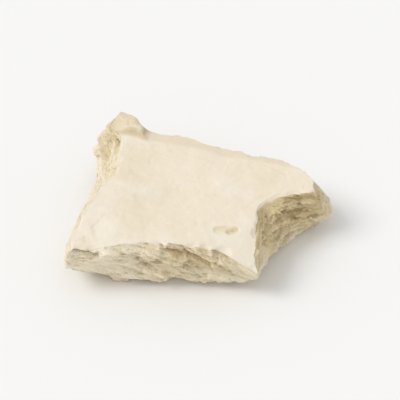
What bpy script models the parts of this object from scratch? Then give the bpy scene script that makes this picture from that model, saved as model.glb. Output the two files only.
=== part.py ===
# One lump of fuller's earth: a slab of dry layered clay that broke out along its bedding.
# It lies on its underside. X runs to the right along the broken front wall, Y away from it, Z up.
# The origin is under the middle of the lump, on the surface that it lies on.

import bpy
import numpy as np

MM = 0.001

# Driving dimensions, in millimetres
THICKNESS = 14.5               # underside to upper face, at the middle
LAYER_DIP = (0.40, -0.28)      # how far the layers fall for each millimetre along X, and along Y

# How many cells the surface has: along each side of a face, and down the broken wall
FACE_CELLS = 38
WALL_CELLS = 13

# The lump's edge, anticlockwise from its thin left corner, seen from above.
# Upper edge x and y, then the foot of the wall below it: x, y and height above the ground,
# and how ledged the wall is there.
EDGE = (
    (-32.9, -18.5, -33.5, -18.5, 8.4, 0.7),  # thin left corner
    (-26.7, -17.8, -26.5, -17.9, 6.6, 1.0),
    (-23.4, -17.1, -23.6, -17.5, 5.2, 1.0),
    (-20.6, -16.5, -21.0, -16.9, 2.2, 1.1),  # front wall
    (-16.0, -15.7, -16.5, -16.9, 2.2, 1.1),
    (-8.2, -16.4, -8.0, -15.9, 2.0, 1.1),
    (-1.6, -16.6, -1.4, -16.2, 2.0, 1.1),
    (3.3, -17.5, 3.2, -17.0, 2.4, 1.0),
    (7.6, -19.2, 7.2, -17.9, 3.4, 0.8),
    (12.0, -21.2, 11.7, -19.9, 6.2, 0.5),    # pointed front corner
    (11.0, -16.8, 13.2, -16.4, 7.2, 0.9),
    (11.8, -11.1, 15.2, -11.6, 5.2, 1.2),    # scooped wall
    (12.9, -5.9, 17.0, -8.0, 3.6, 1.3),
    (14.7, -2.6, 19.6, -4.4, 2.6, 1.3),
    (17.8, -1.3, 22.5, -1.9, 3.2, 1.2),
    (20.7, -0.5, 26.6, 0.4, 3.0, 1.0),
    (26.7, 0.4, 30.8, 3.0, 6.0, 0.7),        # right corner
    (25.4, 3.8, 29.6, 6.8, 4.2, 0.9),
    (22.9, 8.1, 26.4, 11.0, 2.4, 1.0),       # back wall
    (18.0, 11.8, 20.6, 15.2, 1.4, 1.1),
    (10.4, 14.0, 12.2, 17.6, 1.0, 1.1),
    (3.8, 15.8, 4.6, 18.8, 0.9, 1.0),
    (-4.4, 19.1, -4.2, 21.0, 1.1, 1.0),
    (-12.0, 20.9, -12.6, 22.8, 1.4, 1.0),
    (-16.4, 23.9, -17.2, 25.2, 1.8, 0.9),
    (-20.7, 26.4, -22.8, 27.2, 2.6, 0.8),    # raised back corner
    (-24.3, 23.0, -27.9, 23.6, 3.2, 1.2),
    (-20.4, 18.8, -27.8, 18.8, 3.2, 1.3),    # left wall
    (-20.4, 14.7, -27.9, 14.4, 2.8, 1.3),
    (-21.9, 8.8, -28.6, 9.6, 2.4, 1.2),
    (-25.1, 2.9, -29.4, 4.0, 2.2, 1.1),
    (-28.4, -3.5, -31.0, -2.4, 2.4, 0.9),
    (-30.7, -8.9, -32.4, -8.4, 3.4, 0.8),
    (-32.2, -13.8, -33.4, -13.4, 6.0, 0.7),
)
CORNERS = (0, 9, 16, 25)       # the stations where the wall turns a corner

# How soon the ragged detail of a rim fades on the face inside it: a power of the share of the way across
UPPER_FADING = 16
UNDERSIDE_FADING = 60

# The upper face. A wave has a size, a height and a seed.
WAVES = ((17.0, 0.42, 11), (6.5, 0.16, 12))
# A line is a point x, y on it and the direction that leads away from it. Beyond each of these three
# lines the face falls away: how steeply, and over how many millimetres it bends.
FRONT_ROLL = ((0.0, -12.0, 0.0, -1.0), 0.16, 2.0)          # the front edge
CORNER_BEND = ((-1.6, -17.1, 0.542, -0.84), 0.42, 1.6)     # the pointed corner
BACK_STRIP = ((3.8, 13.0, 0.27, 1.0), 0.16, 0.8)           # a strip along the back
BACK_RAGGED = (7.0, 0.9, 16)                   # how ragged the border of that strip is

# The raised back corner lies beyond both of these lines, with a ragged border.
HORN_FRONT = (-20.5, 21.2, 0.30, 0.954)
HORN_RIGHT = (-15.2, 21.0, -0.95, 0.30)
HORN_RAGGED = ((5.0, 0.9, 14), (2.0, 0.4, 15))
HORN_RAMP = (1.2, -4.5, 3.0)                   # the face rises towards it: how far, from where to where
HORN_LEDGE = (0.8, 0.0, 0.4)                   # the step of the thin layer that is left on it
HORN_SLOPE = (0.10, 1.0)
HORN_FACETS = (4.6, 0.9, 54)                   # its dished facets
HORN_FACETS_START = (-0.4, 0.8)

# Flake scars of the upper face: middle x and y, turn in radians, length, width, depth, seed
FLAKES = (
    (4.0, -12.0, 0.12, 7.8, 3.4, 0.55, 31),
    (-24.0, -11.0, 1.1, 9.0, 6.0, 0.22, 32),
    (14.5, 6.5, -0.5, 11.0, 6.5, 0.22, 33),
    (-9.0, 11.0, 0.2, 13.0, 7.0, 0.16, 34),
)

FLAKE_RAGGED = (0.45, 0.38)                    # size for each millimetre of its length, and amount
FLAKE_BORDER = 0.4                             # how wide its sharp step is

# The broken wall. Each kind of relief has its size along X, Y and Z, how far it stands out, and its seed;
# plates also have how strongly they tilt.
LEDGES = ((16.0, 16.0, 3.6), 0.40, 22)
BELLY = (13.0, 0.80, 26)
PLATES = ((8.5, 8.5, 4.4), 0.95, 27, 2.4)
SMALL_PLATES = ((3.6, 3.6, 1.7), 0.34, 94, 3.0)
SPLINTERS = ((7.0, 7.0, 1.8), 0.70, 93)
SPLINTER_TILT = 0.9
SPLIT = ((9.0, 9.0, 4.0), 0.70, 29)            # where the wall split smoothly, and how much it lacks there
WAVY_LAYERS = (11.0, 0.90, 21)
RAGGED = (2.6, 0.45, 91)                       # how ragged the borders between plates are
TILT_DRAWS = (7.13, 13.7, 29.3)                # these turn a plate's random number into three more
FULL_HEIGHT = 9.0                              # a wall lower than this has less relief
MOST_LEDGED = 1.3                              # and more ledged than this counts as this
TOP_SHARE = 0.45                               # the relief's share along the upper edge
TOP_DEPTH = 0.12                               # and how far down the wall it is whole

# The underside. It is flat in the middle and rises towards the foot of the wall.
UNDERSIDE_RISE = 11.0                          # how far it would rise to the rim, were it nowhere flat
UNDERSIDE_BEND = 1.4                           # over how many millimetres it bends up
UNDERSIDE_WAVES = (8.0, 0.50, 41)
UNDERSIDE_PLATES = (5.0, 0.45, 42, 1.2)
UNDERSIDE_SINK = 0.25                          # how deep its middle is pressed flat by its own weight

# Small chips broken out of the upper and lower edges, and of the two blunt corners
CHIPS = 46
CORNER_CHIPS = 4                               # down each of the two
CHIP_RADIUS = (2.2, 6.5)
CHIP_DEPTH = (0.25, 0.95)
UPPER_CHIPS = 0.62                             # the share of the chips that is on the upper edge
UPPER_RISE = (0.5, 1.9)                        # how steeply the chips of the upper edge face up
LOWER_FALL = (0.5, 1.4)                        # and those of the lower edge down
CHIP_TURN = 0.25                               # how far they face to one side, either way
CORNER_SPREAD = 0.006                          # how far off the corner its chips may be, in shares of a round
CORNER_DEEPER = 1.3                            # and how much deeper they are than the others


def scatter(x, y, z, seed):
    """An even random number from 0 to 1 for each whole-number point, the same on every run."""
    low = 0xFFFFFFFF
    n = (x.astype(np.int64) * 73856093) ^ (y.astype(np.int64) * 19349663)
    n = (n ^ (z.astype(np.int64) * 83492791) ^ (seed * 2654435761)) & low
    for shift, factor in ((15, 0x2C1B3C6D), (12, 0x297A2D39), (15, 1)):
        n = ((n ^ (n >> shift)) * factor) & low
    return n / 4294967296.0


def noise(points, size, seed):
    """Smooth noise from about -1 to 1, with hills of that size in millimetres along X, Y and Z."""
    p = points / np.asarray(size, float)
    cell = np.floor(p)
    f = p - cell
    fade = f * f * f * (f * (f * 6 - 15) + 10)
    total = np.zeros(len(p))
    for corner in np.ndindex(2, 2, 2):
        at = [cell[:, k] + corner[k] for k in range(3)]
        height = sum((scatter(*at, seed * 3 + k) * 2 - 1) * (f[:, k] - corner[k]) for k in range(3))
        total += height * np.prod([np.abs(1 - corner[k] - fade[:, k]) for k in range(3)], axis=0)
    return total * 1.6


def rough(points, size, seed):
    """Noise with finer noise added, half the size and a little over half the height."""
    return noise(points, size, seed) + 0.55 * noise(points, size / 2, seed + 1)


def nearest_centre(points, size, seed):
    """Scattered centres, one a cell: squared distance to the nearest, its random number, the way to it."""
    p = points / np.asarray(size, float)
    cell = np.floor(p)
    nearest = np.full(len(p), np.inf)
    number = np.zeros(len(p))
    away = np.zeros((len(p), 3))
    for beside in np.ndindex(3, 3, 3):
        at = [cell[:, k] + beside[k] - 1 for k in range(3)]
        draw = [scatter(*at, seed * 5 + k) for k in range(4)]
        gap = np.stack([p[:, k] - at[k] - draw[k] for k in range(3)], axis=1)
        far = (gap ** 2).sum(axis=1) + 0.35 * draw[3]
        closer = far < nearest
        nearest = np.where(closer, far, nearest)
        number = np.where(closer, draw[2], number)
        away = np.where(closer[:, None], gap, away)
    return nearest, number, away


def step(value, low, high):
    """0 below low, 1 above high, smooth between."""
    t = np.clip((value - low) / (high - low), 0, 1)
    return t * t * (3 - 2 * t)


def past(value, blend):
    """value where it is above 0 and nothing below, rounded over by about blend."""
    return 0.5 * (value + np.sqrt(value * value + blend * blend)) - 0.5 * blend


def beyond(x, y, line):
    """How far a place is beyond a line, along the line's direction."""
    return (x - line[0]) * line[2] + (y - line[1]) * line[3]


def flat_points(x, y):
    return np.stack([x, y, np.zeros_like(x)], axis=1)


def flake(x, y, middle_x, middle_y, turn, long, wide, deep, seed):
    """Depth of a flake scar: it deepens across the scar and ends in a steep ragged step."""
    along = (x - middle_x) * np.cos(turn) + (y - middle_y) * np.sin(turn)
    across = (y - middle_y) * np.cos(turn) - (x - middle_x) * np.sin(turn)
    ragged = FLAKE_RAGGED[1] * rough(flat_points(x, y), FLAKE_RAGGED[0] * long, seed)
    radius = np.sqrt((along / long * 2) ** 2 + (across / wide * 2) ** 2) + ragged
    return deep * step(1 - radius, 0, 2 * FLAKE_BORDER / wide) * np.clip(0.5 + across / wide, 0, 1)


def horn_inner(x, y):
    """How far a place is inside the raised back corner, past its ragged inner edge."""
    inner = np.minimum(beyond(x, y, HORN_FRONT), beyond(x, y, HORN_RIGHT))
    return inner + sum(amount * noise(flat_points(x, y), size, seed) for size, amount, seed in HORN_RAGGED)


def upper_height(x, y):
    """Height of the upper face: a slightly wavy bedding plane, with the remains of the layer above it."""
    flat = flat_points(x, y)
    z = THICKNESS + sum(height * noise(flat, size, seed) for size, height, seed in WAVES)
    size, amount, seed = BACK_RAGGED
    border = amount * noise(flat, size, seed)
    for (line, slope, bend), uneven in ((FRONT_ROLL, 0), (CORNER_BEND, 0), (BACK_STRIP, border)):
        z -= slope * past(beyond(x, y, line) + uneven, bend)
    inner = horn_inner(x, y)
    for rise, start, end in (HORN_RAMP, HORN_LEDGE):
        z += rise * step(inner, start, end)
    z += HORN_SLOPE[0] * past(inner, HORN_SLOPE[1])
    size, height, seed = HORN_FACETS
    z += height * nearest_centre(flat, size, seed)[0] * step(inner, *HORN_FACETS_START)
    return z - sum(flake(x, y, *scar) for scar in FLAKES)


def station_shares(edge):
    """Each station's share of the way round: a quarter for each side from corner to corner, by length."""
    middle = (edge[:, 0:2] + edge[:, 2:4]) / 2
    length = np.linalg.norm(np.roll(middle, -1, axis=0) - middle, axis=1)
    share = np.zeros(len(length) + 1)
    ends = [*CORNERS, len(length)]
    for side in range(4):
        along = np.cumsum(length[ends[side]:ends[side + 1]])
        share[ends[side] + 1:ends[side + 1] + 1] = (side + along / along[-1]) / 4
    return share


def edge_at(turn):
    """The edge at each share of the way round: columns of x, y, foot x, foot y, foot height, ledging."""
    edge = np.array(EDGE)
    share = station_shares(edge)
    closed = np.vstack([edge, edge[:1]])
    return np.stack([np.interp(turn % 1.0, share, closed[:, k]) for k in range(6)], axis=1)


def outward(turn):
    """The level direction out of the wall at each share of the way round."""
    reach = 0.011
    ahead, behind = edge_at(turn + reach), edge_at(turn - reach)
    run = (ahead[:, 0:2] + ahead[:, 2:4]) - (behind[:, 0:2] + behind[:, 2:4])
    run = run / np.linalg.norm(run, axis=1, keepdims=True)
    return np.stack([run[:, 1], -run[:, 0]], axis=1)


def ragged_places(points, seed):
    """The places shifted by a little noise, so that borders between plates come out ragged."""
    size, amount, first = RAGGED
    return points + amount * np.column_stack([rough(points, size, first + seed + k) for k in range(3)])


def plates(points, size, height, seed, lean):
    """Broken facets: each centre's own height, and its own tilt."""
    number, away = nearest_centre(points, size, seed)[1:]
    tilt = np.stack([(number * k) % 1.0 - 0.5 for k in TILT_DRAWS], axis=1)
    return height * (number - 0.5 + lean * (tilt * away).sum(axis=1))


def splinters(points, size, height, seed):
    """Thin overlapping splinters: each stands out by its own amount and leans in at its lower side."""
    number, away = nearest_centre(points, size, seed)[1:]
    return height * (number - 0.5 + SPLINTER_TILT * away[:, 2])


def wall_relief(points, down):
    """How far the broken wall stands out: ledges, a belly, plates and splinters, all along its layers."""
    bed = points.copy()
    bed[:, 2] += points[:, :2] @ LAYER_DIP + WAVY_LAYERS[1] * noise(points, WAVY_LAYERS[0], WAVY_LAYERS[2])
    places = ragged_places(bed, 0)
    whole = 1 - SPLIT[1] * (1 - step(noise(bed, SPLIT[0], SPLIT[2]), -0.25, 0.20))
    out = LEDGES[1] * np.tanh(3.4 * noise(bed, LEDGES[0], LEDGES[2]))
    out += BELLY[1] * np.sin(np.pi * down) * noise(points, BELLY[0], BELLY[2])
    out += plates(places, *PLATES)
    return out + whole * (splinters(places, *SPLINTERS) + plates(places, *SMALL_PLATES))


def wall(turn, down):
    """Points of the broken wall: turn is the share of the way round, and down runs from edge to foot."""
    edge = edge_at(turn)
    top_z = upper_height(edge[:, 0], edge[:, 1])
    share = down[:, None]
    xy = edge[:, 0:2] * (1 - share) + edge[:, 2:4] * share
    points = np.column_stack([xy, top_z * (1 - down) + edge[:, 4] * down])
    room = np.clip((top_z - edge[:, 4]) / FULL_HEIGHT, 0.15, 1.0) * np.minimum(edge[:, 5], MOST_LEDGED)
    room *= TOP_SHARE + (1 - TOP_SHARE) * step(down, 0.0, TOP_DEPTH)
    points[:, 0:2] += outward(turn) * (wall_relief(points, down) * room)[:, None]
    return points


def across_rim(rim, count, power):
    """The inner points of a four-sided patch: each side of the rim, carried across and fading."""
    at = np.arange(1, count)
    front, right = rim[:count + 1], rim[count:2 * count + 1]
    back = rim[2 * count:3 * count + 1][::-1]
    left = np.vstack([rim[3 * count:], rim[:1]])[::-1]
    near, far = (1 - at / count) ** power, (at / count) ** power
    a0, a1, b0, b1 = near[:, None, None], far[:, None, None], near[None, :, None], far[None, :, None]
    points = b0 * front[at][:, None] + b1 * back[at][:, None] + a0 * left[at][None] + a1 * right[at][None]
    return points - a0 * b0 * front[0] - a1 * b0 * front[-1] - a0 * b1 * back[0] - a1 * b1 * back[-1]


def face_points(rim, line, count, upper):
    """Inner points of a face: its rim's even line carried right across, its detail only a little way."""
    fading = UPPER_FADING if upper else UNDERSIDE_FADING
    at = (across_rim(line, count, 1) + across_rim(rim - line, count, fading)).reshape(-1, 3)
    x, y = at[:, 0], at[:, 1]
    if upper:
        return np.column_stack([x, y, upper_height(x, y)])
    side = np.abs(2 * np.arange(1, count) / count - 1)
    ring = np.maximum(side[:, None], side[None, :]).ravel()      # 0 in the middle, 1 on the rim
    flat = flat_points(x, y)
    size, height, seed = UNDERSIDE_WAVES
    uneven = height * noise(flat, size, seed) + plates(ragged_places(flat, 3), *UNDERSIDE_PLATES)
    uneven *= step(ring, 0.12, 0.5) * (1 - step(ring, 0.9, 1.0))
    foot = at[:, 2]
    rise = past(foot - UNDERSIDE_RISE * (1 - ring), UNDERSIDE_BEND) - UNDERSIDE_SINK
    short = foot - past(foot, UNDERSIDE_BEND) + UNDERSIDE_SINK   # what the rise lacks at the rim itself
    return np.column_stack([x, y, rise + uneven + short * ring ** 8])


def lump_grid(face, down):
    """Points and four-sided faces of the closed surface: the wall, and a patch on each of its two rims."""
    around = 4 * face
    turn, drop = np.meshgrid(np.arange(around) / around, np.arange(down + 1) / down, indexing="ij")
    walls = wall(turn.ravel(), drop.ravel()).reshape(around, down + 1, 3)
    number = np.arange(around * (down + 1)).reshape(around, down + 1)
    edge = edge_at(np.arange(around) / around)
    points, faces = [walls.reshape(-1, 3)], []
    for upper, row, line in ((True, 0, edge[:, 0:2]), (False, down, edge[:, 2:4])):
        rim = number[:, row]
        index = np.zeros((face + 1, face + 1), int)
        index[:, 0], index[-1, :] = rim[:face + 1], rim[face:2 * face + 1]
        index[::-1, -1], index[0, :0:-1] = rim[2 * face:3 * face + 1], rim[3 * face:]
        first = sum(len(p) for p in points)
        index[1:-1, 1:-1] = first + np.arange((face - 1) ** 2).reshape(face - 1, face - 1)
        line = np.column_stack([line, walls[:, row, 2]])
        points.append(face_points(walls[:, row], line, face, upper))
        corners = [index[:-1, :-1], index[1:, :-1], index[1:, 1:], index[:-1, 1:]]
        faces.append(np.stack(corners if upper else corners[::-1], axis=-1).reshape(-1, 4))
    beside = np.roll(number, -1, axis=0)
    corners = [number[:, :-1], number[:, 1:], beside[:, 1:], beside[:, :-1]]
    faces.append(np.stack(corners, axis=-1).reshape(-1, 4))
    return np.vstack(points), np.vstack(faces)


def knocked_out(points, ball, radius, aim):
    """What lies inside the ball slides back along aim, onto the far side of the ball."""
    away = points - ball
    along = away @ aim
    inside = radius ** 2 - (away ** 2).sum(axis=1)
    cut = along + np.sqrt(np.maximum(along ** 2 + inside, 0))
    return points - np.where(inside > 0, cut, 0)[:, None] * aim


def chipped(points):
    """The edges with small chips broken out, and the two blunt corners with larger ones down them."""
    number = np.arange(CHIPS + 2 * CORNER_CHIPS)
    draw = [scatter(number, number * 0, number * 0, 60 + k) for k in range(6)]
    corner = number >= CHIPS
    upper = draw[1] < UPPER_CHIPS
    row = (number - CHIPS) // 2
    corner_turn = 0.5 + number % 2 * 0.25 + CORNER_SPREAD * (2 * draw[0] - 1)
    turn = np.where(corner, corner_turn, (number + draw[0] * 0.8) / CHIPS)
    down = np.where(corner, (row + draw[1]) / CORNER_CHIPS, np.where(upper, 0.0, 1.0))
    up, fall = (np.interp(draw[2], (0, 1), steepness) for steepness in (UPPER_RISE, LOWER_FALL))
    edge_rise = np.where(upper, up, -fall)
    rise = np.where(corner, draw[2] - 0.5, edge_rise)
    aim = np.column_stack([outward(turn) + CHIP_TURN * (2 * draw[3] - 1)[:, None], rise])
    aim = aim / np.linalg.norm(aim, axis=1, keepdims=True)
    radius = np.interp(draw[4], (0, 1), CHIP_RADIUS)
    depth = np.interp(draw[5], (0, 1), CHIP_DEPTH) * np.where(corner, CORNER_DEEPER, 1.0)
    on_wall = wall(turn, down)
    for k in number:
        points = knocked_out(points, on_wall[k] + aim[k] * (radius[k] - depth[k]), radius[k], aim[k])
    return points


def clay_material():
    material = bpy.data.materials.new("dry_clay")
    material.use_nodes = True
    shader = material.node_tree.nodes["Principled BSDF"]
    shader.inputs["Base Color"].default_value = (0.80, 0.71, 0.55, 1.0)
    shader.inputs["Roughness"].default_value = 0.95
    shader.inputs["Metallic"].default_value = 0.0
    return material


def main():
    for thing in list(bpy.data.objects):
        bpy.data.objects.remove(thing)
    points, faces = lump_grid(FACE_CELLS, WALL_CELLS)
    points = chipped(points)
    points[:, 2] = np.maximum(points[:, 2], 0.0)      # what touches the ground is flat
    low, high = points.min(axis=0), points.max(axis=0)
    points -= [(low[0] + high[0]) / 2, (low[1] + high[1]) / 2, 0.0]
    mesh = bpy.data.meshes.new("clay_lump")
    mesh.from_pydata((points * MM).tolist(), [], faces.tolist())
    mesh.materials.append(clay_material())
    lump = bpy.data.objects.new("clay_lump", mesh)
    bpy.context.scene.collection.objects.link(lump)


main()
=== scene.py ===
# A lump of fuller's earth: a slab of dry layered clay, broken out along its bedding, on a pale table.
# X runs to the right along the broken front wall, Y away from the viewer and Z up.

import math
import bpy
import numpy as np
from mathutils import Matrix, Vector


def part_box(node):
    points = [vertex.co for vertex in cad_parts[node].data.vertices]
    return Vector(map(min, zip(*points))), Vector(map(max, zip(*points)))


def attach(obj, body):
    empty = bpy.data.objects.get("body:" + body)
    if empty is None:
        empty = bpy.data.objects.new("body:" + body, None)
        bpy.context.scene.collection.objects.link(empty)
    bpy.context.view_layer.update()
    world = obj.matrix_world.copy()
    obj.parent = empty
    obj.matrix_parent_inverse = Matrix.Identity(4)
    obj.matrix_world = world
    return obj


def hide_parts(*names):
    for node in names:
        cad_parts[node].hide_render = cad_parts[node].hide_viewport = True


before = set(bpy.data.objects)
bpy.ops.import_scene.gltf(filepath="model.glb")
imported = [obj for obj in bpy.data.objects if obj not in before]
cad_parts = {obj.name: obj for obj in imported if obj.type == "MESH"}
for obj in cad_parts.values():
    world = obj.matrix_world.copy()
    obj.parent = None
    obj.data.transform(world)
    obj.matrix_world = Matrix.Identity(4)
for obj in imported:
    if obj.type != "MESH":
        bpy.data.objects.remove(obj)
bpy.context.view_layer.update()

mm = 0.001                                     # the lump is worked out in millimetres and stored in metres
scene = bpy.context.scene


# Noise and other patterns in space. Each one takes an array of points in millimetres.

def cellRandom(x, y, z, seed):
    # an even random number from 0 to 1 for each whole-number cell, the same on every run
    low = 0xFFFFFFFF
    n = (x.astype(np.int64) * 73856093) ^ (y.astype(np.int64) * 19349663)
    n = (n ^ (z.astype(np.int64) * 83492791) ^ (seed * 2654435761)) & low
    for shift, factor in ((15, 0x2C1B3C6D), (12, 0x297A2D39), (15, 1)):
        n = ((n ^ (n >> shift)) * factor) & low
    return n / 4294967296.0


def softNoise(points, size, seed):
    # gradient noise, about -1 to 1: each corner of the cell that holds the point gives
    # random slope . (point - corner), and a fade of degree five blends the eight of them
    p = points / np.asarray(size, float)
    cell = np.floor(p)
    f = p - cell
    fade = f * f * f * (f * (f * 6 - 15) + 10)
    total = np.zeros(len(p))
    for step in np.ndindex(2, 2, 2):
        corner = [cell[:, k] + step[k] for k in range(3)]
        slope = [cellRandom(*corner, seed * 3 + k) * 2 - 1 for k in range(3)]
        height = sum(slope[k] * (f[:, k] - step[k]) for k in range(3))
        weight = [np.abs(1 - step[k] - fade[:, k]) for k in range(3)]
        total += height * (weight[0] * weight[1] * weight[2])
    return total * 1.6


def roughNoise(points, size, octaves, seed):
    # soft noise with finer and finer noise added, each half the size and 0.55 of the height
    total = np.zeros(len(points))
    for k in range(octaves):
        total += softNoise(points, np.asarray(size, float) / 2 ** k, seed + k) * 0.55 ** k
    return total


def nearestCell(points, size, seed):
    # scattered centres, one for each cell: squared distance to the nearest, with a random head start;
    # also that centre's own random number and the way to it
    p = points / np.asarray(size, float)
    cell = np.floor(p)
    nearest = np.full(len(p), 9.0)
    number = np.zeros(len(p))
    away = np.zeros((len(p), 3))
    for step in np.ndindex(3, 3, 3):
        corner = [cell[:, k] + step[k] - 1 for k in range(3)]
        draw = [cellRandom(*corner, seed * 5 + k) for k in range(4)]
        gap = np.stack([p[:, k] - corner[k] - draw[k] for k in range(3)], axis=1)
        far = (gap ** 2).sum(axis=1) + 0.35 * draw[3]
        closer = far < nearest
        nearest = np.where(closer, far, nearest)
        number = np.where(closer, draw[2], number)
        away = np.where(closer[:, None], gap, away)
    return nearest, number, away


def smoothStep(value, low, high):
    # 0 below low, 1 above high, and t * t * (3 - 2 t) between
    t = np.clip((value - low) / (high - low), 0, 1)
    return t * t * (3 - 2 * t)


def past(value, blend):
    # value where it is above 0 and nothing below, rounded over by about blend
    return 0.5 * (value + np.sqrt(value * value + blend * blend)) - 0.5 * blend


def beyond(x, y, line):
    # how far a place is beyond a line, along the line's direction: (place - start) . direction
    return (x - line[0]) * line[2] + (y - line[1]) * line[3]


def flatPoints(x, y):
    # places on the level plane through the origin
    return np.stack([x, y, np.zeros_like(x)], axis=1)


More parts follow.
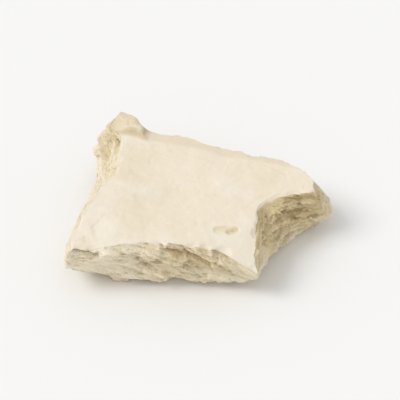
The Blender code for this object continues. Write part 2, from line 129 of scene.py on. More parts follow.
# The lump, in millimetres
lump = {
    "faceCells": 150,                          # cells along each side of the upper face, and of the underside
    "wallCells": 88,                           # cells down the broken wall
    "thickness": 14.5,                         # underside to upper face, at the middle
    "layerDip": (0.40, -0.28),                 # how far the layers fall for each millimetre along X and Y
    "undercut": 0.55,                          # how steeply the underside rises towards the foot of the wall
    "underRun": 20.0,                          # from the middle of the underside to its rim, about
    "underBlend": 1.4,                         # how softly the underside turns up
    "underFlat": 0.25,                         # how much of it the table takes off, so that it lies flat
    "fullWall": 9.0,                           # a wall as high as this has the whole relief, a lower one less
    "chips": 46,                               # small hollows knocked out of the upper and lower edges
    "cornerChips": 4,                          # and down each of the two blunt corners
    "chipRadius": (2.2, 6.5),
    "chipDepth": (0.25, 0.95),
    "evenRounds": 16,                          # how often folded faces are evened out
    "sharpestTurn": 0.12,                      # a face that agrees less with its neighbours is folded
    "wear": 0.30,                              # how much of what stands out is rubbed away
    # lines on the upper face: x and y of a point on each, and the direction that leads away from it
    "frontRoll": (0.0, -12.0, 0.0, -1.0),      # beyond this one the front edge rolls down
    "cornerBend": (-1.6, -17.1, 0.542, -0.84), # beyond this one the pointed corner bends down
    "backStrip": (3.8, 13.0, 0.27, 1.0),       # beyond this one a strip along the back slopes away
    "frontFall": 0.16,                         # and how steeply, for these three
    "cornerFall": 0.42,
    "backFall": 0.16,
    "hornFront": (-20.5, 21.2, 0.30, 0.954),   # the raised back corner lies beyond both of these
    "hornRight": (-15.2, 21.0, -0.95, 0.30),
    "hornRamp": 1.2,                           # how far the ramp to it rises, and the step on the ramp
    "hornStep": 0.8,
    "hornFacets": (4.6, 0.9),                  # size and height of the dished facets on it
    "hornBroken": 0.55,                        # how much it looks like a broken wall
    # patterns: size, or sizes along X, along Y and across the layers, and then how far each stands out
    "waves": (17, 0.42),                       # on the upper face
    "ripples": (6.5, 0.16),
    "chalk": (2.8, 0.075),
    "peelStep": 0.07,                          # thickness of the thin layers peeled off it
    "pitDepth": 0.14,                          # and of the tiny pits in it
    "ledges": ((16, 16, 3.6), 0.40),           # on the broken wall
    "belly": (13, 0.8),
    "slabs": ((8.5, 8.5, 4.4), 0.95),
    "splinters": ((7.0, 7.0, 1.8), 0.70),
    "plates": ((3.6, 3.6, 1.7), 0.34),
    "crumbs": ((1.5, 1.5, 0.8), 0.12),
    "facets": ((3.0, 3.0, 0.9), 0.17),
    "fineFacets": ((1.4, 1.4, 0.5), 0.07),
    "crumble": ((1.6, 1.6, 0.9), 0.05),
    "thickLayers": ((6.0, 1.15), 0.46),        # along the wall and through the layer
    "thinLayers": ((3.2, 0.55), 0.24),
    "underWaves": (8.0, 0.5),                  # on the underside
    "underPlates": (5, 0.45),
    # thin flakes missing from the upper face: x, y, turn, length, width, depth, seed
    "flakes": [
        (4.0, -12.0, 0.12, 7.8, 3.4, 0.55, 31),    # a small scar with a pit at its right end
        (6.1, -11.8, 0.35, 3.6, 2.0, 1.20, 37),
        (-24.0, -11.0, 1.1, 9.0, 6.0, 0.22, 32),
        (14.5, 6.5, -0.5, 11.0, 6.5, 0.22, 33),
        (-9.0, 11.0, 0.2, 13.0, 7.0, 0.16, 34),
        (-14.0, -3.0, 2.2, 9.0, 5.0, 0.12, 35),
        (3.2, -0.9, 0.1, 3.4, 1.5, 0.18, 36),
        (6.6, -0.4, -0.2, 2.4, 1.3, 0.15, 38),
    ],
    # deeper hollows in the walls: x, y, z, then how far along the wall and up it, and how deep
    "hollows": [
        (-29.0, -18.4, 12.9, 4.4, 0.8, 1.3),   # under the thin left corner
        (-25.9, 12.0, 6.9, 2.9, 1.2, 1.2),     # pit low in the left wall
        (-23.0, 13.6, 10.6, 3.8, 0.7, 0.9),    # crevice above it
        (-27.2, 20.8, 8.6, 2.4, 1.0, 1.2),
        (12.4, -9.8, 11.2, 2.6, 1.1, 1.2),     # the scooped wall, under its upper edge
        (14.2, -5.6, 9.6, 3.6, 0.9, 1.0),
        (16.8, -3.0, 11.8, 3.4, 0.8, 0.9),
        (22.0, -1.2, 9.8, 5.2, 0.7, 0.9),
        (-14.0, -16.6, 9.6, 5.5, 0.7, 0.8),    # the front wall, under its upper edge
        (-7.0, -17.0, 11.6, 6.5, 0.8, 1.0),
        (-0.5, -17.2, 9.2, 4.6, 0.8, 0.9),
    ],
    # Once round the edge, anticlockwise from the thin left corner: upper edge x and y, foot x, y and
    # height above the table, how ledged the wall is there, and how fresh the break looks, which also paints a
    # tint of warm bounced light in shade; above 1 it is painted shade, darker still
    "edge": [
        (-32.9, -18.5, -33.5, -18.5, 8.4, 0.7, 0.2),    # thin left corner
        (-26.7, -17.8, -26.5, -17.9, 6.6, 1.0, 0.0),
        (-23.4, -17.1, -23.6, -17.5, 5.2, 1.0, 0.0),
        (-20.6, -16.5, -21.0, -16.9, 2.2, 1.1, 0.1),    # front wall
        (-16.0, -15.7, -16.5, -16.9, 2.2, 1.1, 0.3),
        (-8.2, -16.4, -8.0, -15.9, 2.0, 1.1, 0.7),
        (-1.6, -16.6, -1.4, -16.2, 2.0, 1.1, 0.8),
        (3.3, -17.5, 3.2, -17.0, 2.4, 1.0, 0.7),
        (7.6, -19.2, 7.2, -17.9, 3.4, 0.8, 0.4),
        (12.0, -21.2, 11.7, -19.9, 6.2, 0.25, 0.3),     # pointed front corner
        (11.0, -16.8, 13.2, -16.4, 7.2, 0.9, 0.8),
        (11.8, -11.1, 15.2, -11.6, 5.2, 1.2, 1.0),      # scooped wall
        (12.9, -5.9, 17.0, -8.0, 3.6, 1.3, 1.0),
        (14.7, -2.6, 19.6, -4.4, 2.6, 1.3, 1.1),
        (17.8, -1.3, 22.5, -1.9, 3.2, 1.2, 1.4),
        (20.7, -0.5, 26.6, 0.4, 3.0, 1.0, 1.5),
        (26.7, 0.4, 30.8, 3.0, 6.0, 0.7, 1.0),          # right corner
        (25.4, 3.8, 29.6, 6.8, 4.2, 0.9, 0.4),
        (22.9, 8.1, 26.4, 11.0, 2.4, 1.0, 0.3),         # back wall
        (18.0, 11.8, 20.6, 15.2, 1.4, 1.1, 0.3),
        (10.4, 14.0, 12.2, 17.6, 1.0, 1.1, 0.4),
        (3.8, 15.8, 4.6, 18.8, 0.9, 1.0, 0.5),
        (-4.4, 19.1, -4.2, 21.0, 1.1, 1.0, 0.4),
        (-12.0, 20.9, -12.6, 22.8, 1.4, 1.0, 0.3),
        (-16.4, 23.9, -17.2, 25.2, 1.8, 0.9, 0.4),
        (-20.7, 26.4, -22.8, 27.2, 2.6, 0.8, 0.5),      # raised back corner
        (-24.3, 23.0, -27.9, 23.6, 3.2, 1.2, 0.4),
        (-20.4, 18.8, -27.8, 18.8, 3.2, 1.3, 0.4),      # left wall
        (-20.4, 14.7, -27.9, 14.4, 2.8, 1.3, 0.4),
        (-21.9, 8.8, -28.6, 9.6, 2.4, 1.2, 0.4),
        (-25.1, 2.9, -29.4, 4.0, 2.2, 1.1, 0.5),
        (-28.4, -3.5, -31.0, -2.4, 2.4, 0.9, 0.4),
        (-30.7, -8.9, -32.4, -8.4, 3.4, 0.8, 0.4),
        (-32.2, -13.8, -33.4, -13.4, 6.0, 0.7, 0.4),
    ],
    "corners": (0, 9, 16, 25),                 # the stations at which the wall turns a corner
}


def standing(pattern, points, name, *more):
    # a pattern at the size and the height that the dictionary gives it
    size, height = lump[name]
    return height * pattern(points, size, *more)


def flakeDepth(x, y, fx, fy, turn, length, width, deep, seed):
    # an oval scar that deepens across its width and ends in a sharp ragged step
    along = (x - fx) * np.cos(turn) + (y - fy) * np.sin(turn)
    across = (y - fy) * np.cos(turn) - (x - fx) * np.sin(turn)
    ragged = 0.38 * roughNoise(flatPoints(x, y), 0.45 * length, 3, seed)
    radius = np.sqrt((along / length * 2) ** 2 + (across / width * 2) ** 2) + ragged
    return deep * smoothStep(-radius, -1.0, 0.8 / width - 1.0) * np.clip(0.5 + across / width, 0, 1)


def hornInner(x, y):
    # how far a place is inside the raised back corner, past its ragged inner edge
    flat = flatPoints(x, y)
    inner = np.minimum(beyond(x, y, lump["hornFront"]), beyond(x, y, lump["hornRight"]))
    return inner + 0.9 * softNoise(flat, 5, 14) + 0.4 * softNoise(flat, 2, 15)


def backStrip(x, y):
    # how far a place is inside the strip along the back edge
    return beyond(x, y, lump["backStrip"]) + 0.9 * softNoise(flatPoints(x, y), 7, 16)


def upperHeight(x, y):
    # a bedding plane: thickness + waves + thin peeled layers + the horn - what bends down or flaked off
    flat = flatPoints(x, y)
    z = lump["thickness"] + standing(softNoise, flat, "waves", 11)
    z += standing(softNoise, flat, "ripples", 12)
    broad = softNoise(flat, (15, 11, 9), 17) + 0.06 * roughNoise(flat, 2.2, 2, 19)
    small = softNoise(flat, (8, 6, 9), 18) - 0.22 + 0.06 * roughNoise(flat, 1.6, 2, 20)
    z += lump["peelStep"] * (np.tanh(26 * broad) + 0.6 * np.tanh(22 * small))     # level, with steep borders
    z -= lump["frontFall"] * past(beyond(x, y, lump["frontRoll"]), 2.0)
    z -= lump["cornerFall"] * past(beyond(x, y, lump["cornerBend"]), 1.6)
    inner = hornInner(x, y)
    z += lump["hornRamp"] * smoothStep(inner, -4.5, 3.0) + lump["hornStep"] * smoothStep(inner, 0.0, 0.4)
    z += 0.10 * past(inner, 1.0)
    size, height = lump["hornFacets"]
    z += height * nearestCell(flat, size, 54)[0] * smoothStep(inner, -0.4, 0.8)
    z -= lump["backFall"] * past(backStrip(x, y), 0.8)
    for flake in lump["flakes"]:
        z -= flakeDepth(x, y, *flake)
    return z


def edgeShares():
    # each station's share of the way round: a quarter for each side between two corners, and by length
    # within a side
    middle = (edgeStations[:, 0:2] + edgeStations[:, 2:4]) / 2
    length = np.linalg.norm(np.roll(middle, -1, axis=0) - middle, axis=1)
    share = np.zeros(len(length) + 1)
    corners = [*lump["corners"], len(length)]
    for side in range(4):
        first, last = corners[side], corners[side + 1]
        along = np.cumsum(length[first:last])
        share[first + 1:last + 1] = (side + along / along[-1]) / 4
    return share


edgeStations = np.array(lump["edge"])
edgeShare = edgeShares()
edgeClosed = np.vstack([edgeStations, edgeStations[:1]])


def edgeAt(turn):
    # straight lines between the stations, by the share of the way round
    return np.stack([np.interp(turn % 1.0, edgeShare, edgeClosed[:, k]) for k in range(7)], axis=1)


def outward(turn):
    # the level direction out of the wall: the run of the edge, turned a quarter to the right
    ahead, behind = edgeAt(turn + 0.011), edgeAt(turn - 0.011)
    run = (ahead[:, 0:2] + ahead[:, 2:4]) - (behind[:, 0:2] + behind[:, 2:4])
    run = run / np.linalg.norm(run, axis=1, keepdims=True)
    return np.stack([run[:, 1], -run[:, 0]], axis=1)


def bedPoints(points):
    # the wall measured along its layers: Z becomes the height above a tilted, slightly wavy layer
    bed = points.copy()
    bed[:, 2] += points[:, :2] @ lump["layerDip"] + 0.9 * softNoise(points, 11, 21)
    return bed


def ragged(points, size, amount, seed):
    # the places shifted by a little noise, so that borders between cells come out ragged
    return points + amount * np.column_stack([roughNoise(points, size, 2, seed + k) for k in range(3)])


def plates(points, size, seed, lean=1.2):
    # broken facets: the nearest centre's own height + lean * its own tilt . way to the centre
    number, away = nearestCell(points, size, seed)[1:]
    tilt = np.stack([(number * k) % 1.0 - 0.5 for k in (7.13, 13.7, 29.3)], axis=1)
    return number - 0.5 + lean * (tilt * away).sum(axis=1)


def splinters(points, size, seed):
    # thin overlapping splinters: each stands out by its own number and leans in towards its lower side,
    # so that its upper side catches the light
    number, away = nearestCell(points, size, seed)[1:]
    return number - 0.5 + 0.9 * away[:, 2]


def layers(bed, size, seed):
    # a stack of thin layers: each stands out by its own noise along the wall, and ends in a sharp border
    run, thick = size
    level = bed[:, 2] / thick + 0.5 * softNoise(bed, (run, run, 5 * thick), seed)
    layer = np.floor(level)
    own = softNoise(np.column_stack([bed[:, :2], layer * 7.7 * run]), run, seed + 1)
    return own + 0.2 * (layer - level + 0.5)


def wallRelief(points, down):
    # ledges + belly + slabs + splinters + plates + crumbs + two stacks of layers, in millimetres outwards;
    # shear is low where the clay split smoothly
    bed = bedPoints(points)
    rough = ragged(bed, 2.6, 0.45, 91)
    shear = 0.30 + 0.70 * smoothStep(softNoise(bed, (9, 9, 4), 29), -0.25, 0.20)
    size, height = lump["ledges"]
    relief = height * np.tanh(3.4 * softNoise(bed, size, 22))
    relief += np.sin(np.pi * down) * standing(softNoise, points, "belly", 26)
    relief += standing(plates, rough, "slabs", 27, 2.4) + shear * standing(splinters, rough, "splinters", 93)
    relief += shear * standing(plates, rough, "plates", 94, 3.0)
    relief += shear * standing(plates, rough, "crumbs", 28, 3.0)
    relief += standing(layers, rough, "thickLayers", 23) + standing(layers, bed, "thinLayers", 46)
    return relief


def roomFor(wallHeight):
    # how much of the relief a wall of that height has room for
    return np.clip(wallHeight / lump["fullWall"], 0.15, 1.0)


def wallPoints(turn, down):
    # the straight line from edge to foot at that share of the way round, in three rough steps where the
    # wall is much broken, pushed out by the relief, of which the upper edge has less
    edge = edgeAt(turn)
    topZ = upperHeight(edge[:, 0], edge[:, 1])
    height = topZ * (1 - down) + edge[:, 4] * down
    shift = softNoise(np.column_stack([edge[:, 2:4], height]), 8.0, 52)
    phase = 6 * np.pi * down + 2.4 * shift * np.sin(np.pi * down)
    share = (down - 0.05 * smoothStep(edge[:, 5], 1.1, 1.6) * np.sin(phase))[:, None]
    points = np.column_stack([edge[:, 0:2] * (1 - share) + edge[:, 2:4] * share, height])
    room = roomFor(topZ - edge[:, 4]) * np.minimum(edge[:, 5], 1.3)
    room *= 0.45 + 0.55 * smoothStep(down, 0.0, 0.12)
    points[:, 0:2] += outward(turn) * (wallRelief(points, down) * room)[:, None]
    return points


def evened(walls):
    # each point 0.7 of its own place and 0.15 of each neighbour's, along the wall and then down it,
    # so that a sharp step doesn't come out as teeth
    walls = 0.7 * walls + 0.15 * (np.roll(walls, 1, axis=0) + np.roll(walls, -1, axis=0))
    walls[:, 1:-1] = 0.7 * walls[:, 1:-1] + 0.15 * (walls[:, :-2] + walls[:, 2:])
    return walls


def acrossRim(rim, count, power):
    # the surface between four sides: (1 - b)^p front + b^p back + (1 - a)^p left + a^p right, less the
    # corners, which that counts twice; a runs along the front and b along the right
    step = np.arange(1, count)
    front, right = rim[:count + 1], rim[count:2 * count + 1]
    back, left = rim[2 * count:3 * count + 1][::-1], np.vstack([rim[3 * count:], rim[:1]])[::-1]
    near, far = (1 - step / count) ** power, (step / count) ** power
    a0, a1, b0, b1 = near[:, None, None], far[:, None, None], near[None, :, None], far[None, :, None]
    at = b0 * front[step][:, None] + b1 * back[step][:, None]
    at = at + a0 * left[step][None] + a1 * right[step][None]
    return at - a0 * b0 * front[0] - a1 * b0 * front[-1] - a0 * b1 * back[0] - a1 * b1 * back[-1]


def facePoints(rim, line, count, upper):
    # the even line of the rim carried right across the face, and its ragged detail only a little way in;
    # the underside is flat in the middle, rises outwards and meets the foot of the wall
    fade = 16 if upper else 60
    at = (acrossRim(line, count, 1) + acrossRim(rim - line, count, fade)).reshape(-1, 3)
    x, y = at[:, 0], at[:, 1]
    if upper:
        return np.column_stack([x, y, upperHeight(x, y)])
    side = np.abs(2 * np.arange(1, count) / count - 1)
    ring = np.maximum(side[:, None], side[None, :]).ravel()              # 0 in the middle, 1 on the rim
    flat = flatPoints(x, y)
    uneven = standing(softNoise, flat, "underWaves", 41)
    uneven += standing(plates, ragged(flat, 2.6, 0.5, 44), "underPlates", 42)
    uneven *= smoothStep(ring, 0.12, 0.5) * (1 - smoothStep(ring, 0.95, 1.0))
    foot, blend, cutOff = at[:, 2], lump["underBlend"], lump["underFlat"]
    lift = past(foot - lump["undercut"] * lump["underRun"] * (1 - ring), blend)
    meets = (foot - past(foot, blend) + cutOff) * ring ** 8
    return np.column_stack([x, y, lift + uneven - cutOff + meets])


def lumpGrid(face, down):
    # one closed grid: the wall all the way round, and a four-sided patch on its upper and on its lower rim
    around = 4 * face
    drops = np.arange(down + 1) / down                                   # 0 at the edge, 1 at the foot
    turn, drop = np.meshgrid(np.arange(around) / around, drops, indexing="ij")
    walls = evened(wallPoints(turn.ravel(), drop.ravel()).reshape(around, down + 1, 3))
    number = np.arange(around * (down + 1)).reshape(around, down + 1)
    edge = edgeAt(np.arange(around) / around)
    points, faces = [walls.reshape(-1, 3)], []
    for upper, row, line in ((True, 0, edge[:, 0:2]), (False, down, edge[:, 2:4])):
        rim = number[:, row]
        index = np.zeros((face + 1, face + 1), int)
        index[:, 0], index[-1, :] = rim[:face + 1], rim[face:2 * face + 1]
        index[::-1, -1], index[0, :0:-1] = rim[2 * face:3 * face + 1], rim[3 * face:]
        first = sum(len(p) for p in points)
        index[1:-1, 1:-1] = first + np.arange((face - 1) ** 2).reshape(face - 1, face - 1)
        line = np.column_stack([line, walls[:, row, 2]])
        points.append(facePoints(walls[:, row], line, face, upper))
        corners = [index[:-1, :-1], index[1:, :-1], index[1:, 1:], index[:-1, 1:]]
        faces.append(np.stack(corners if upper else corners[::-1], axis=-1).reshape(-1, 4))
    beside = np.roll(number, -1, axis=0)
    wallFaces = np.stack([number[:, :-1], number[:, 1:], beside[:, 1:], beside[:, :-1]], axis=-1)
    faces.append(wallFaces.reshape(-1, 4))
    footLight = 0.45 * smoothStep(drops, 0.45, 0.90)                         # painted light: the foot of the wall is made less fresh, so paler, as if lit by bounced light
    freshAndShade = (edge[:, 6][:, None] * (1 - footLight)).ravel()
    rubbed = np.tile(smoothStep(drops, -0.02, 0.035), around)
    room = np.repeat(roomFor(walls[:, 0, 2] - walls[:, -1, 2]), down + 1)
    inside = np.zeros((face - 1) ** 2)
    kinds = np.column_stack([                                            # for wall, upper face and underside:
        np.concatenate([rubbed, inside, inside + 0.9]),                  # how broken it is
        np.concatenate([freshAndShade, inside, inside + 0.6]),                   # how fresh, with a painted tint of bounced light; above 1, painted shade
        np.concatenate([freshAndShade * 0, inside, inside + 1]),                 # whether it is the underside
        np.concatenate([room, inside + 1, inside + 1]),                  # how much grain it has room for
    ])
    return np.vstack(points), np.vstack(faces), kinds


def crossed(points, faces):
    # each face's normal, twice its area long: one diagonal x the other
    return np.cross(points[faces[:, 2]] - points[faces[:, 0]], points[faces[:, 3]] - points[faces[:, 1]])


def gridNormals(points, faces):
    # the outward direction at each point: the sum of the normals of the faces that meet there
    across = crossed(points, faces)
    total = [sum(np.bincount(faces[:, c], across[:, k], len(points)) for c in range(4)) for k in range(3)]
    total = np.stack(total, axis=1)
    return total / np.maximum(np.linalg.norm(total, axis=1, keepdims=True), 1e-12)


def relaxed(values, faces, rounds):
    # each value replaced by the mean of its neighbours along the grid, that many times over
    values = values if values.ndim == 2 else values[:, None]
    corners, size = faces.ravel(), len(values)
    count = 2.0 * np.bincount(corners, minlength=size)
    for _ in range(rounds):
        beside = values[np.roll(faces, 1, axis=1)] + values[np.roll(faces, -1, axis=1)]
        total = [np.bincount(corners, beside[:, :, k].ravel(), size) for k in range(values.shape[1])]
        values = np.stack(total, axis=1) / count[:, None]
    return values


def unfolded(points, faces):
    # where a face turns away from its neighbours, its corners move to the mean of the points beside them
    for _ in range(lump["evenRounds"]):
        across = crossed(points, faces)
        agree = (across[:, None] * gridNormals(points, faces)[faces]).sum(axis=2).min(axis=1)
        folded = faces[agree < lump["sharpestTurn"] * np.linalg.norm(across, axis=1)]
        inFold = np.bincount(folded.ravel(), minlength=len(points)) > 0
        points = np.where(inFold[:, None], relaxed(points, faces, 1), points)
    return points


def knockedOut(points, ball, radius, aim):
    # what lies inside the ball slides back along aim, onto the far side of the ball
    away = points - ball
    along = away @ aim
    inside = radius ** 2 - (away ** 2).sum(axis=1)
    cut = along + np.sqrt(np.maximum(along ** 2 + inside, 0))
    return points - np.where(inside > 0, cut, 0)[:, None] * aim


def chipped(points):
    # the edges with small hollow chips missing, spread evenly round with a random shift, and the two blunt
    # corners with larger ones, spread down them
    edgeChips, rows = lump["chips"], lump["cornerChips"]
    number = np.arange(edgeChips + 2 * rows)
    draw = [cellRandom(number, number * 0, number * 0, 60 + k) for k in range(6)]
    corner = number >= edgeChips
    upper = draw[1] < 0.62
    atCorner = 0.5 + number % 2 * 0.25 + 0.012 * (draw[0] - 0.5)
    turn = np.where(corner, atCorner, (number + draw[0] * 0.8) / edgeChips)
    down = np.where(corner, ((number - edgeChips) // 2 + draw[1]) / rows, np.where(upper, 0.0, 1.0))
    rise = np.where(corner, draw[2] - 0.5, np.where(upper, 0.5 + 1.4 * draw[2], -0.5 - 0.9 * draw[2]))
    aim = np.column_stack([outward(turn) + 0.5 * (draw[3] - 0.5)[:, None], rise])
    aim = aim / np.linalg.norm(aim, axis=1, keepdims=True)
    radius = np.interp(draw[4], (0, 1), lump["chipRadius"])
    depth = np.interp(draw[5], (0, 1), lump["chipDepth"]) * np.where(corner, 1.3, 1.0)
    depth *= np.where(np.abs(turn - 0.25) < 0.02, 0.25, 1.0)             # shallow at the thin pointed corner
    onWall = wallPoints(turn, down)
    for k in number:
        points = knockedOut(points, onWall[k] + aim[k] * (radius[k] - depth[k]), radius[k], aim[k])
    return points


def hollowed(points, normals):
    # the deeper hollows: a ragged slot along the layers pushes the wall in along its level normals;
    # also how far inside one each place is
    level = normals * (1, 1, 0)
    bed = bedPoints(points)
    inside = np.zeros(len(points))
    shift = 0.60 * softNoise(bed, (3.0, 3.0, 1.6), 81) + 0.34 * softNoise(bed, (1.2, 1.2, 0.7), 82)
    for x, y, z, along, rise, deep in lump["hollows"]:
        middle = bedPoints(np.array([[x, y, z]]))[0]
        share = np.clip(1 - np.linalg.norm((bed - middle) / (along, along, rise), axis=1) + shift, 0, 1)
        points = points - level * (deep * smoothStep(share, 0.0, 0.7))[:, None]
        inside = np.maximum(inside, smoothStep(share, 0.15, 0.7))
    return points, inside


def fineGrain(points, broken):
    # what the surface looks like up close, as a height along the normal: two sizes of small sharp facets
    # where it is broken, a soft chalky surface with tiny pits on the bedding planes
    bed = ragged(bedPoints(points), 1.4, 0.22, 87)
    wall = standing(plates, bed, "facets", 95, 3.0) + standing(plates, bed, "fineFacets", 96, 3.0)
    wall += standing(roughNoise, points, "crumble", 2, 75)
    dots, number = nearestCell(points, 2.6, 98)[:2]
    pits = smoothStep(-dots, -0.08, -0.005) * (number > 0.78)
    face = standing(roughNoise, points, "chalk", 4, 71) + 0.05 * (0.4 - nearestCell(points, 1.3, 99)[0])
    face -= lump["pitDepth"] * pits
    return broken * wall + (1 - broken) * face


def lumpSurface():
    # grid, chips and hollows, grain along the normals with its folds evened out, then wear that rounds only
    # what stands out; the underside is ledged too, where it slopes
    points, faces, kinds = lumpGrid(lump["faceCells"], lump["wallCells"])
    points = chipped(points)
    points, inside = hollowed(points, gridNormals(points, faces))
    kinds = np.column_stack([relaxed(kinds, faces, 3), inside])
    normals = gridNormals(points, faces)
    horn = lump["hornBroken"] * smoothStep(hornInner(points[:, 0], points[:, 1]), -0.8, 0.4)
    kinds[:, 0] = np.maximum(kinds[:, 0], horn)
    slope = kinds[:, 2] * smoothStep(np.abs(normals[:, 2]), 0.999, 0.93)
    grain = fineGrain(points, kinds[:, 0]) * kinds[:, 3]
    grain += 0.5 * slope * wallRelief(points, 0.5 * np.ones(len(points)))
    points = unfolded(points + normals * grain[:, None], faces)
    settled = relaxed(points, faces, 1)
    dent = ((settled - points) * gridNormals(points, faces)).sum(axis=1)
    points = points + (settled - points) * (lump["wear"] * smoothStep(-dent, 0.0, 0.08))[:, None]
    points[:, 2] = np.maximum(points[:, 2], 0.0)                         # what touches the table is flat
    return points, faces, kinds


def reliefShares(points, faces):
    # how hollow each place is, fine and broad: (smoothed - point) . normal, over its usual size
    normals = gridNormals(relaxed(points, faces, 2), faces)
    fine = ((relaxed(points, faces, 4) - points) * normals).sum(axis=1)
    broad = ((relaxed(points, faces, 40) - points) * normals).sum(axis=1)
    return relaxed(np.clip(fine / 0.20, -1, 1), faces, 1)[:, 0], np.clip(broad / 0.5, -1, 1)


def makeLump():
    points, faces, kinds = lumpSurface()
    fine, broad = reliefShares(points, faces)
    x, y = points[:, 0], points[:, 1]
    inner = hornInner(x, y)
    # painted shade: a yellower band on the step up to the horn and on the slope of the back strip
    strawAndStepShade = 0.35 * smoothStep(backStrip(x, y), -0.3, 1.4) + smoothStep(inner, -2.4, -0.2)
    strawAndStepShade -= 0.38 * smoothStep(inner, 0.9, 2.2)                          # strongest at the step up to the horn
    strawAndStepShade = np.clip(strawAndStepShade, 0, 1) * (1 - smoothStep(kinds[:, 0], 0.6, 0.9))
    scar = sum(flakeDepth(x, y, *flake) for flake in lump["flakes"][:2]) * (1 - kinds[:, 0])
    low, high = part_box("clay_lump")
    ownLow, ownHigh = points.min(axis=0), points.max(axis=0)
    points[:, :2] += (np.array(low[:2]) + np.array(high[:2])) / 2 / mm - (ownLow[:2] + ownHigh[:2]) / 2
    mesh = bpy.data.meshes.new("fullers_earth_lump")
    mesh.from_pydata((points * mm).tolist(), [], faces.tolist())
    mesh.shade_smooth()
    values = {
        "hollow": fine, "deep": broad, "broken": kinds[:, 0], "freshAndShade": kinds[:, 1], "pit": kinds[:, 4],
        "strawAndStepShade": strawAndStepShade, "scar": np.clip(scar / 0.4, 0, 1),
    }
    for name, share in values.items():
        mesh.attributes.new(name, "FLOAT", "POINT").data.foreach_set("value", share.astype(np.float32))
    bed = (bedPoints(points) * mm).astype(np.float32)
    mesh.attributes.new("bed", "FLOAT_VECTOR", "POINT").data.foreach_set("vector", bed.ravel())
    piece = bpy.data.objects.new("fullers_earth_lump", mesh)
    scene.collection.objects.link(piece)
    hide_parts("clay_lump")
    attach(piece, "root")
    print("lump:", len(faces) * 2, "triangles,", [round(v, 1) for v in ownHigh - ownLow], "mm")
    return piece


# The clay's finish
clay = {
    "face": (0.830, 0.735, 0.585),             # bedding planes: pale cream
    "chalk": (0.850, 0.775, 0.655),            # paler chalky patches on them
    "strawAndStepShade": (0.665, 0.560, 0.380),            # yellower patches, and painted shade on the horn's step and the back strip
    "wall": (0.880, 0.795, 0.620),             # broken clay, dusted over
    "freshAndShade": (0.710, 0.580, 0.345),            # broken clay, freshly split; also a painted tint of warm bounced light in shade
    "olive": (0.420, 0.315, 0.150),            # painted shade in crevices, broad hollows and pits, and the dark lines along the layers
    "dustAndHighlight": (0.870, 0.790, 0.635),             # pale dust on rubbed edges, and a painted highlight along them
    "ochre": (0.720, 0.500, 0.260),            # rust stains
    "speck": (0.420, 0.340, 0.210),            # tiny dark grains
    # how strongly each of these shows, from 0 to 1
    "yellowShare": 0.30,
    "scarShare": 0.50,
    "sheetShare": (0.08, 0.50),                # the dark lines along the layers, in dusty and in fresh clay
    "freshestShadeShare": 0.60,                     # painted shade that freshness above 1 adds, at 2
    "stainShare": 0.35,
    "dustAndHighlightShare": 0.50,
    "creviceShadeShare": 0.44,
    "shadeShare": 0.20,
    "pitShadeShare": 0.40,
    "speckShare": 0.45,
    # the finest relief, in metres
    "grainHeight": 0.00007,
    "lumpHeight": 0.00012,
    "crumbHeight": 0.00018,
    "roughness": 0.96,
    "specular": 0.25,
}


class NodeChain:
    # short names for the few node types that the clay needs
    def __init__(self, tree):
        self.tree = tree
        self.coordinates = tree.nodes.new("ShaderNodeTexCoord")

    def link(self, source, target):
        self.tree.links.new(source, target)

    def noise(self, scale, detail, roughness, offset=(0, 0, 0), stretch=(1, 1, 1), where=None):
        place = self.tree.nodes.new("ShaderNodeMapping")
        place.inputs["Location"].default_value = offset
        place.inputs["Scale"].default_value = stretch
        self.link(where or self.coordinates.outputs["Object"], place.inputs["Vector"])
        node = self.tree.nodes.new("ShaderNodeTexNoise")
        node.inputs["Scale"].default_value = scale
        node.inputs["Detail"].default_value = detail
        node.inputs["Roughness"].default_value = roughness
        self.link(place.outputs["Vector"], node.inputs["Vector"])
        return node.outputs["Fac"]

    def cells(self, scale):
        node = self.tree.nodes.new("ShaderNodeTexVoronoi")
        node.inputs["Scale"].default_value = scale
        self.link(self.coordinates.outputs["Object"], node.inputs["Vector"])
        return node.outputs["Distance"]

    def attribute(self, name, output="Fac"):
        node = self.tree.nodes.new("ShaderNodeAttribute")
        node.attribute_name = name
        return node.outputs[output]

    def between(self, value, low, high, toLow=0.0, toHigh=1.0):
        node = self.tree.nodes.new("ShaderNodeMapRange")
        node.interpolation_type = "SMOOTHSTEP"
        node.inputs["From Min"].default_value = low
        node.inputs["From Max"].default_value = high
        node.inputs["To Min"].default_value = toLow
        node.inputs["To Max"].default_value = toHigh
        self.link(value, node.inputs["Value"])
        return node.outputs["Result"]

    def combine(self, kind, first, second):
        node = self.tree.nodes.new("ShaderNodeMath")
        node.operation = kind
        for socket, value in zip(node.inputs, (first, second)):
            if isinstance(value, (int, float)):
                socket.default_value = value
            else:
                self.link(value, socket)
        return node.outputs["Value"]

    def times(self, first, second):
        return self.combine("MULTIPLY", first, second)

    def mix(self, share, first, second):
        node = self.tree.nodes.new("ShaderNodeMix")
        node.data_type = "RGBA"
        self.link(share, node.inputs["Factor"])
        for socket, value in ((node.inputs[6], first), (node.inputs[7], second)):
            if isinstance(value, tuple):
                socket.default_value = (*value, 1.0)
            else:
                self.link(value, socket)
        return node.outputs[2]

    def bump(self, height, distance, below=None):
        node = self.tree.nodes.new("ShaderNodeBump")
        node.inputs["Strength"].default_value = 1.0
        node.inputs["Distance"].default_value = distance
        self.link(height, node.inputs["Height"])
        if below:
            self.link(below, node.inputs["Normal"])
        return node.outputs["Normal"]


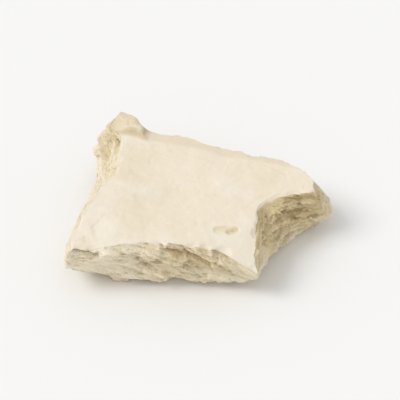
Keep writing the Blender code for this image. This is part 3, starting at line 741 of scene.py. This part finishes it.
def clayMaterial():
    # cream faces with patches, more olive walls with pale rubbed edges partly painted as highlight, painted
    # shade in crevices, hollows and pits, specks, stains, and a chalky grain
    material = bpy.data.materials.new("dry_fullers_earth")
    material.use_nodes = True
    chain = NodeChain(material.node_tree)
    broken, hollow, deep = chain.attribute("broken"), chain.attribute("hollow"), chain.attribute("deep")
    freshAndShade, strawAndStepShade, scar = chain.attribute("freshAndShade"), chain.attribute("strawAndStepShade"), chain.attribute("scar")
    pit, bed = chain.attribute("pit"), chain.attribute("bed", "Vector")

    patches = chain.between(chain.noise(75, 3, 0.6), 0.45, 0.66)
    yellow = chain.between(chain.noise(48, 4, 0.6, (0.3, 0.1, 0.2)), 0.48, 0.70)
    # random yellower patches, and the painted shade on the horn's step and the back strip
    yellow = chain.combine("MAXIMUM", chain.times(yellow, clay["yellowShare"]), strawAndStepShade)
    face = chain.mix(patches, clay["face"], clay["chalk"])
    face = chain.mix(yellow, face, clay["strawAndStepShade"])
    face = chain.mix(chain.times(scar, clay["scarShare"]), face, clay["freshAndShade"])

    streaks = chain.noise(260, 4, 0.65, (0.1, 0.4, 0.3), (0.35, 0.35, 1.6), bed)
    streaks = chain.between(streaks, 0.36, 0.66, -0.25, 0.25)
    # fresh breaks are more olive-yellow, partly a painted tint of warm bounced light in shade
    wall = chain.mix(chain.combine("ADD", freshAndShade, streaks), clay["wall"], clay["freshAndShade"])
    sheets = chain.noise(700, 4, 0.6, (0.2, 0.5, 0.1), (0.22, 0.22, 1.5), bed)
    lines = chain.between(freshAndShade, 0.0, 1.0, *clay["sheetShare"])
    lines = chain.times(chain.between(sheets, 0.50, 0.39), lines)
    wall = chain.mix(lines, wall, clay["olive"])
    # painted shade: freshness above 1 darkens the wall, as under an overhanging edge
    wall = chain.mix(chain.between(freshAndShade, 1.0, 2.0, 0.0, clay["freshestShadeShare"]), wall, clay["olive"])
    colour = chain.mix(chain.between(broken, 0.25, 0.95), face, wall)

    stains = chain.between(chain.noise(120, 5, 0.7, (0.7, 0.2, 0.5)), 0.63, 0.76)
    colour = chain.mix(chain.times(stains, clay["stainShare"]), colour, clay["ochre"])
    # pale dust on what stands out, partly a painted highlight along edges
    rubbed = chain.between(hollow, -0.25, -0.95, 0.0, clay["dustAndHighlightShare"])
    rubbed = chain.times(rubbed, chain.between(broken, 0.0, 0.6, 0.35, 1.0))
    colour = chain.mix(rubbed, colour, clay["dustAndHighlight"])
    # painted shade: crevices darkened towards olive
    crevice = chain.between(hollow, 0.20, 1.00, 0.0, clay["creviceShadeShare"])
    crevice = chain.times(crevice, chain.between(broken, 0.1, 0.8, 0.3, 1.0))
    colour = chain.mix(crevice, colour, clay["olive"])
    shaded = chain.between(deep, 0.15, 1.0, 0.0, clay["shadeShare"])
    shaded = chain.times(shaded, chain.between(broken, 0.2, 0.9))
    colour = chain.mix(shaded, colour, clay["olive"])
    # painted shade inside the deeper hollows
    colour = chain.mix(chain.times(pit, clay["pitShadeShare"]), colour, clay["olive"])
    speck = chain.times(chain.between(chain.cells(1300), 0.30, 0.10), clay["speckShare"])
    rare = chain.between(chain.noise(420, 3, 0.6, (0.2, 0.9, 0.4)), 0.60, 0.70)
    colour = chain.mix(chain.times(speck, rare), colour, clay["speck"])

    crumbed = chain.combine("ADD", chain.noise(1500, 5, 0.7), chain.cells(1900))
    crumbed = chain.combine("ADD", crumbed, chain.times(sheets, 1.2))
    relief = chain.bump(chain.noise(900, 3, 0.6), clay["lumpHeight"])
    relief = chain.bump(chain.times(crumbed, broken), clay["crumbHeight"], relief)
    relief = chain.bump(chain.noise(3400, 2, 0.6), clay["grainHeight"], relief)
    shader = material.node_tree.nodes["Principled BSDF"]
    chain.link(colour, shader.inputs["Base Color"])
    chain.link(relief, shader.inputs["Normal"])
    shader.inputs["Roughness"].default_value = clay["roughness"]
    shader.inputs["Specular IOR Level"].default_value = clay["specular"]
    return material


# The table, the light and the camera
studio = {
    "table": (0.88, 0.876, 0.868),
    "tableSize": 80.0,
    "skyStrength": 0.73,
    "horizonStrength": 0.935,                   # the sky is brighter low down, so that the table runs into it
    "keyFrom": (-0.68, -0.10, 0.80),           # high on the left
    "keySpread": 30.0,                         # degrees: how soft its shadows are
    "keyPower": 1.36,
    "aimHeight": 0.0095,
    "elevation": 45.3,                         # degrees
    "distance": 0.70,
    "lens": 262.0,
}


def makeTable():
    side = studio["tableSize"] / 2
    mesh = bpy.data.meshes.new("pale_table")
    corners = [(-side, -side, 0), (side, -side, 0), (side, side, 0), (-side, side, 0)]
    mesh.from_pydata(corners, [], [(0, 1, 2, 3)])
    material = bpy.data.materials.new("pale_table")
    material.use_nodes = True
    shader = material.node_tree.nodes["Principled BSDF"]
    shader.inputs["Base Color"].default_value = (*studio["table"], 1.0)
    shader.inputs["Roughness"].default_value = 1.0
    shader.inputs["Specular IOR Level"].default_value = 0.0
    mesh.materials.append(material)
    table = bpy.data.objects.new("pale_table", mesh)
    scene.collection.objects.link(table)


def makeLight():
    world = bpy.data.worlds.new("soft_sky")
    scene.world = world
    world.use_nodes = True
    chain = NodeChain(world.node_tree)
    height = world.node_tree.nodes.new("ShaderNodeSeparateXYZ")
    chain.link(chain.coordinates.outputs["Generated"], height.inputs["Vector"])
    strength = chain.between(height.outputs["Z"], 0.0, 0.35, studio["horizonStrength"], studio["skyStrength"])
    chain.link(strength, world.node_tree.nodes["Background"].inputs["Strength"])
    world.node_tree.nodes["Background"].inputs["Color"].default_value = (1.0, 1.0, 1.0, 1.0)
    data = bpy.data.lights.new("key", "SUN")
    data.angle = math.radians(studio["keySpread"])
    data.energy = studio["keyPower"]
    key = bpy.data.objects.new("key", data)
    key.location = studio["keyFrom"]
    key.rotation_euler = (-key.location).to_track_quat("-Z", "Y").to_euler()
    scene.collection.objects.link(key)
    scene.view_settings.view_transform = "Standard"


def makeCamera():
    data = bpy.data.cameras.new("camera")
    data.lens = studio["lens"]
    data.clip_start = 0.01
    camera = bpy.data.objects.new("camera", data)
    rise = math.radians(studio["elevation"])
    back = Vector((0.0, -math.cos(rise), math.sin(rise)))
    camera.location = Vector((0.0, 0.0, studio["aimHeight"])) + back * studio["distance"]
    camera.rotation_euler = (-back).to_track_quat("-Z", "Y").to_euler()
    scene.collection.objects.link(camera)
    scene.camera = camera


lumpPiece = makeLump()
lumpPiece.data.materials.append(clayMaterial())
print("clay: finished")
makeTable()
makeLight()
makeCamera()
print("studio: ready")
